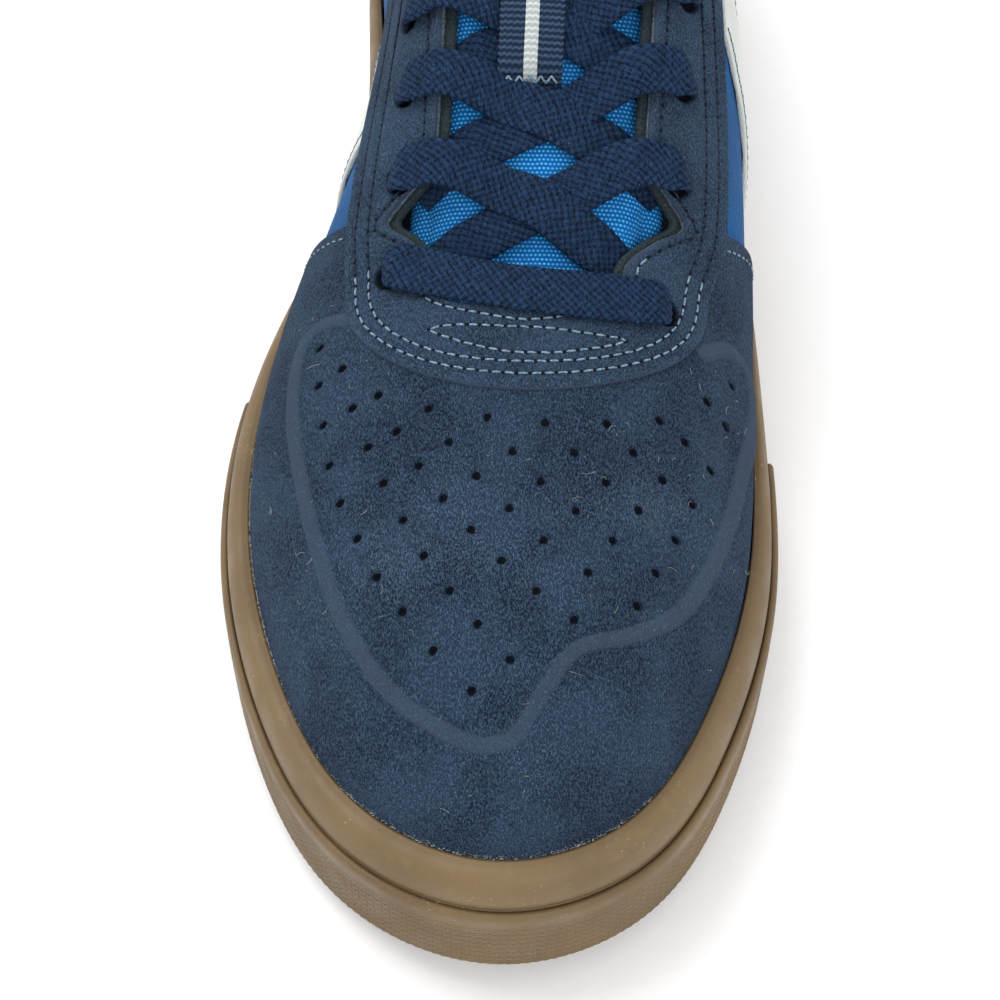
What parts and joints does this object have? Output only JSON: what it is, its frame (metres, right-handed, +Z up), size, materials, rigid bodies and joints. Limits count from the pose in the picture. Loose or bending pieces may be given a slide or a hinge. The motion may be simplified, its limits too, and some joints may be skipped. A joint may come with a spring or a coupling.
{
  "type": "skateboarding shoe",
  "caption": "Low-cut left skateboarding shoe on a thick cupsole, with a suede toe and lace facing, textile quarters, padded collar and tongue and flat laces.",
  "frame": {"origin": "on the ground under the middle of the sole's outline", "axes": "+Z up, -Y towards the toe, -X towards the medial side, +X towards the lateral side"},
  "size_m": [0.1084, 0.2975, 0.1267],
  "materials": {
    "gum": "satin gum rubber",
    "lining": "dark knitted lining",
    "textile": "bright blue woven textile",
    "suede": "navy suede",
    "off_white": "smooth off-white leather",
    "lace": "flat braided navy lace",
    "webbing": "ribbed navy webbing"
  },
  "bodies": {
    "root": {"outsole": "gum", "midsole": "gum", "foxing": "gum", "toe_strip": "gum", "insole": "lining", "upper": "textile", "vamp": "suede", "eyestay": "suede", "heel_counter": "suede", "side_band_lateral": "off_white", "side_band_medial": "off_white", "tongue": "textile", "lace_bar_1": "lace", "lace_crossing_1": "lace", "lace_crossing_2": "lace", "lace_crossing_3": "lace", "lace_crossing_4": "lace", "lace_crossing_5": "lace", "lace_keeper": "webbing"}
  },
  "joints": []
}
